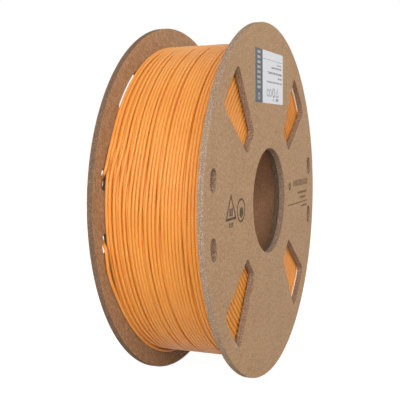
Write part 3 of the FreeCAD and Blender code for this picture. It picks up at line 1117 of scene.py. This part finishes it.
@dataclass
class StrandRun:
    """One run of filament by itself: the tucked tail, or the first end inside the tube."""

    name: str
    node: str
    # Control points in millimetres
    route: Sequence[Point]
    strand: float = 1.75 * MM
    section_steps: int = 3
    span_steps: int = 16
    finish: Finish = OrangePla()

    def build(self) -> None:
        """Lay the run as one smooth spline through its route."""
        curve = bpy.data.curves.new(self.name, "CURVE")
        curve.dimensions = "3D"
        curve.bevel_depth = self.strand / 2
        curve.bevel_resolution = self.section_steps
        curve.use_fill_caps = True
        curve.resolution_u = self.span_steps
        line = curve.splines.new("NURBS")
        line.points.add(len(self.route) - 1)
        for knot, place in zip(line.points, self.route):
            knot.co = (*(part * MM for part in place), 1.0)
        line.order_u = 3
        line.use_endpoint_u = True
        make_piece(self.name, curve, self.finish, [self.node])


@dataclass
class Flange:
    """One cardboard flange: two greyboard plies between kraft liners, all die-cut alike."""

    end: End
    face: Finish
    board: Finish
    # The liners towards the winding are drawn warmer, as painted orange light that the winding throws on
    # them, and darker, as painted shade from the winding
    kraft: Finish = KraftPaper("warm kraft paper", "#AA815D")
    rim_steps: int = 256
    bore: float = 60 * MM
    bore_steps: int = 128
    window_turns: tuple[float, ...] = (45, 135, 225, 315)
    window_half_span: float = math.radians(10)
    window_core_land: float = 2 * MM
    window_rim_land: float = 10.5 * MM
    window_corner: float = 3.5 * MM
    window_rim_steps: int = 16
    window_steps: int = 8
    tuck_turns: tuple[float, ...] = (-10.6, 10.6, 169.4, 190.6)
    tuck_width: float = 7.8 * MM
    tuck_length: float = 11.7 * MM
    tuck_inset: float = 11 * MM
    tuck_steps: int = 16
    # The knife rounds the soft board more than the thin liner
    board_shoulder: float = 0.14 * MM
    liner_shoulder: float = 0.05 * MM

    def __post_init__(self) -> None:
        """Take the rim and the core from the CAD."""
        self.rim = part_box(f"{self.end.label}_outer_board")[1].x
        self.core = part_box("core_tube_wrap")[1].x

    def window(self, turn: float) -> Outline:
        """Draw one sight window: a sector with rounded corners.

        Args:
            turn: the angle of its middle above +X, in degrees.

        Returns:
            Its outline.
        """
        outer = self.rim - self.window_rim_land
        inner = self.core + self.window_core_land
        corner = self.window_corner
        side = self.window_half_span
        far = side - math.asin(corner / (outer - corner))
        near = side - math.asin(corner / (inner + corner))
        middle = math.radians(turn)
        outline = []
        # Each arc: how far out and at what angle its centre lies, its radius, start, end and steps
        for reach, lean, radius, first, last, steps in (
                (0, 0, outer, -far, far, self.window_rim_steps),
                (outer - corner, far, corner, far, side + QUARTER_TURN, self.window_steps),
                (inner + corner, near, corner, side + QUARTER_TURN, near + math.pi, self.window_steps),
                (0, 0, inner, near, -near, self.window_steps),
                (inner + corner, -near, corner, math.pi - near, 3 * QUARTER_TURN - side, self.window_steps),
                (outer - corner, -far, corner, 3 * QUARTER_TURN - side, FULL_TURN - far, self.window_steps)):
            centre = (reach * math.cos(middle + lean), reach * math.sin(middle + lean))
            outline += arc(centre, radius, middle + first, middle + last, steps)
        return outline

    def tuck_slot(self, turn: float) -> Outline:
        """Draw one tuck slot: two half circles, one above the other, across the radius.

        Args:
            turn: the angle of its middle above +X, in degrees.

        Returns:
            Its outline.
        """
        middle = math.radians(turn)
        reach = self.rim - self.tuck_inset
        run = (self.tuck_length - self.tuck_width) / 2
        outline = []
        for rise, first in ((run, middle), (-run, middle + math.pi)):
            centre = (reach * math.cos(middle) - rise * math.sin(middle),
                      reach * math.sin(middle) + rise * math.cos(middle))
            past = first + math.pi * (1 + 1 / self.tuck_steps)
            outline += arc(centre, self.tuck_width / 2, first, past, self.tuck_steps + 1)
        return outline

    def outlines(self, rim: float) -> list[Outline]:
        """Draw the cuts of one ply: its rim, the bore, the windows and the tuck slots.

        Args:
            rim: the radius of this ply.

        Returns:
            The outlines, the rim first.
        """
        cuts = [arc((0, 0), radius, 0, FULL_TURN, steps)
                for radius, steps in ((rim, self.rim_steps), (self.bore / 2, self.bore_steps))]
        cuts += [self.window(turn) for turn in self.window_turns]
        cuts += [self.tuck_slot(turn) for turn in self.tuck_turns]
        return cuts

    def ply(self, layer: str, finish: Finish, shoulder: float) -> None:
        """Cut one ply in place of its CAD node.

        Args:
            layer: the ply's name within the flange.
            finish: what it is made of.
            shoulder: how far the knife rounds its edges.
        """
        node = f"{self.end.label}_{layer}"
        low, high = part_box(node)
        mesh = die_cut(self.outlines(high.x), low.y, high.y, shoulder)
        make_piece(f"{node}_cut", mesh, finish, [node])

    def build(self) -> None:
        """Cut the four plies of this flange."""
        self.ply("outer_liner", self.face, self.liner_shoulder)
        self.ply("outer_board", self.board, self.board_shoulder)
        self.ply("inner_board", self.board, self.board_shoulder)
        self.ply("inner_liner", self.kraft, self.liner_shoulder)


@dataclass
class CoreTube:
    """The spiral-wound core tube, with a board ring glued inside each end."""

    kraft: Finish = TubeKraft()
    board: Finish = Greyboard()
    # The ring board is drawn darker than the flange board, as painted shade deep inside the bore
    ring_board: Finish = Greyboard("hub ring board", "#6D5645", "#96806A", "#46362B")
    glue: Finish = WhiteGlue()
    ring_bore: float = 61 * MM
    ring_shoulder: float = 0.2 * MM
    ring_steps: int = 160
    bore_steps: int = 128
    # The glue fillet is fullest where the ring was pressed in, and this share of that at its thinnest
    thin_glue: float = 0.55
    glue_steps: int = 4
    glue_strips: int = 240
    glue_waves: int = 9
    glue_seed: int = 23

    def hub_ring(self, end: End) -> None:
        """Cut the ring of one end.

        Args:
            end: the end of the tube.
        """
        node = f"{end.label}_hub_ring"
        low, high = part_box(node)
        cuts = [arc((0, 0), radius, 0, FULL_TURN, steps)
                for radius, steps in ((high.x, self.ring_steps), (self.ring_bore / 2, self.bore_steps))]
        mesh = die_cut(cuts, low.y, high.y, self.ring_shoulder)
        make_piece(f"{node}_cut", mesh, self.ring_board, [node])

    def glue_bead(self, end: End) -> None:
        """Run the hollow fillet of glue between the tube and one ring, uneven round the bore.

        Args:
            end: the end of the tube.
        """
        node = f"{end.label}_glue_bead"
        low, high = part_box(node)
        leg = high.y - low.y
        seat = high.y if end is End.REAR else low.y
        swell = smooth_wave(random.Random(self.glue_seed + end.value), self.glue_waves)

        def section(angle: float) -> Section:
            """Give the fillet's corners at one angle.

            Args:
                angle: the angle round the bore.

            Returns:
                The radius and Y of each corner.
            """
            share = self.thin_glue + (1 - self.thin_glue) * (1 + swell(angle)) / 2
            turns = [QUARTER_TURN * step / self.glue_steps for step in range(self.glue_steps + 1)]
            hollow = [(high.x - share * leg * (1 - math.sin(turn)),
                       seat - end.value * share * leg * (1 - math.cos(turn))) for turn in turns]
            return [(high.x, seat)] + hollow

        mesh = turned_mesh(section, self.glue_strips, sharp=40)
        make_piece(f"{node}_run", mesh, self.glue, [node])

    def build(self) -> None:
        """Dress the tube and build what is glued into it."""
        dress_node("core_tube_lining", self.kraft)
        dress_node("core_tube_body", self.board)
        dress_node("core_tube_wrap", self.kraft)
        for end in End:
            self.hub_ring(end)
            self.glue_bead(end)


@dataclass(frozen=True)
class Lamp:
    """A square soft lamp that faces the spool."""

    name: str
    place: Point
    width: float
    watts: float

    def hang(self) -> None:
        """Put the lamp in the scene."""
        data = bpy.data.lights.new(self.name, "AREA")
        data.size = self.width
        data.energy = self.watts
        lamp = bpy.data.objects.new(self.name, data)
        lamp.location = self.place
        lamp.rotation_euler = (-Vector(self.place)).to_track_quat("-Z", "Y").to_euler()
        bpy.context.scene.collection.objects.link(lamp)


@dataclass
class Studio:
    """The camera, the lamps, the pale floor and the white surround."""

    eye: Vector = field(default_factory=lambda: Vector((-408.69, -158.51, 36.96)) * MM)
    aim: Vector = field(default_factory=lambda: Vector((4.745, 15.008, -1.292)) * MM)
    # The spool in the photograph has rolled a little on its rims, so the camera leans instead
    roll: float = math.radians(-0.547)
    # The lens and the sensor in millimetres
    lens: float = 67.05
    sensor: float = 36.0
    nearest_seen: float = 10 * MM
    floor_width: float = 6.0
    floor_paint: str = "#BEBEBE"
    floor_roughness: float = 0.9
    # The share of the floor that the camera sees as plain white; the rest shows the shadow
    floor_glow: float = 0.5
    glow_strength: float = 1.9
    even_light: float = 0.32
    lamps: tuple[Lamp, ...] = (
        Lamp("front softbox", (0.4, -1.0, 0.4), 0.8, 4.4),
        Lamp("side softbox", (-1.03, -0.15, 0.26), 0.6, 6.1),
        Lamp("camera fill", (-0.8, -0.9, 0.5), 0.8, 4.6),
        Lamp("back softbox", (0.6, 1.0, 0.2), 0.7, 3.4),
    )

    def camera(self) -> None:
        """Set the camera where the photograph was taken from."""
        data = bpy.data.cameras.new("camera")
        data.lens = self.lens
        data.sensor_width = self.sensor
        data.clip_start = self.nearest_seen
        camera = bpy.data.objects.new("camera", data)
        camera.location = self.eye
        level = (self.aim - self.eye).to_track_quat("-Z", "Y")
        camera.rotation_euler = (level @ Quaternion((0, 0, 1), self.roll)).to_euler()
        bpy.context.scene.collection.objects.link(camera)
        bpy.context.scene.camera = camera

    def seen_white(self, tree: Tree) -> Socket:
        """Make a mask of the rays that see the surround as it is: camera, glossy and transmitted.

        Args:
            tree: the node tree of the world or of the floor's paint.

        Returns:
            A socket that is 1 for these rays and 0 for the others.
        """
        path = add_node(tree, "LightPath")
        either = add_node(tree, "Math", {"operation": "MAXIMUM"},
                          {0: path.outputs["Is Camera Ray"], 1: path.outputs["Is Glossy Ray"]})
        return add_node(tree, "Math", {"operation": "MAXIMUM"},
                        {0: either.outputs[0], 1: path.outputs["Is Transmission Ray"]}).outputs[0]

    def surround(self) -> None:
        """Light the scene evenly and show the surround as plain white."""
        world = bpy.data.worlds.new("surround")
        bpy.context.scene.world = world
        world.use_nodes = True
        tree = world.node_tree
        strength = add_node(tree, "Mix", None, {0: self.seen_white(tree), 2: self.even_light, 3: 1.0})
        feed(tree, tree.nodes["Background"], {"Color": (1, 1, 1, 1), "Strength": strength.outputs[0]})

    def floor(self) -> None:
        """Lay a plain pale floor under the rims that keeps the spool's shadow."""
        half = self.floor_width / 2
        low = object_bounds()[0].z
        mesh = bpy.data.meshes.new("floor")
        corners = [(-half, -half, low), (half, -half, low), (half, half, low), (-half, half, low)]
        mesh.from_pydata(corners, [], [(0, 1, 2, 3)])
        floor = bpy.data.objects.new("floor", mesh)
        bpy.context.scene.collection.objects.link(floor)
        floor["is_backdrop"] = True
        paint = bpy.data.materials.new("white studio paint")
        paint.use_nodes = True
        tree = paint.node_tree
        shader = tree.nodes["Principled BSDF"]
        feed(tree, shader, {"Base Color": linear(self.floor_paint), "Roughness": self.floor_roughness})
        glow = add_node(tree, "Emission", None, {"Color": (1, 1, 1, 1), "Strength": self.glow_strength})
        share = add_node(tree, "Math", {"operation": "MULTIPLY"},
                         {0: self.seen_white(tree), 1: self.floor_glow})
        mixed = add_node(tree, "MixShader", None,
                         {0: share.outputs[0], 1: shader.outputs[0], 2: glow.outputs[0]})
        feed(tree, tree.nodes["Material Output"], {"Surface": mixed.outputs[0]})
        mesh.materials.append(paint)

    def build(self) -> None:
        """Set up the whole studio."""
        bpy.context.scene.view_settings.view_transform = "Standard"
        self.camera()
        self.surround()
        for lamp in self.lamps:
            lamp.hang()
        self.floor()


def main() -> None:
    """Build and dress the spool."""
    logging.basicConfig(level=logging.INFO, format="%(name)s: %(message)s")
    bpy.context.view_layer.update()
    Studio().build()
    Flange(End.FRONT, PrintedKraft(), Greyboard()).build()
    # The rear board gets no painted rim light: its rim colour is its own pulp
    Flange(End.REAR, KraftPaper(), Greyboard("dark greyboard", "#82644E", "#B39379", "#503C31",
                                             painted_rim_light="#82644E")).build()
    CoreTube().build()
    dress_node("front_label", LabelPaper())
    Winding().build()
    StrandRun("filament_tucked_tail", "filament_tail", TAIL_ROUTE).build()
    StrandRun("filament_first_end", "filament_start_hook", START_ROUTE).build()


if __name__ == "__main__":
    main()
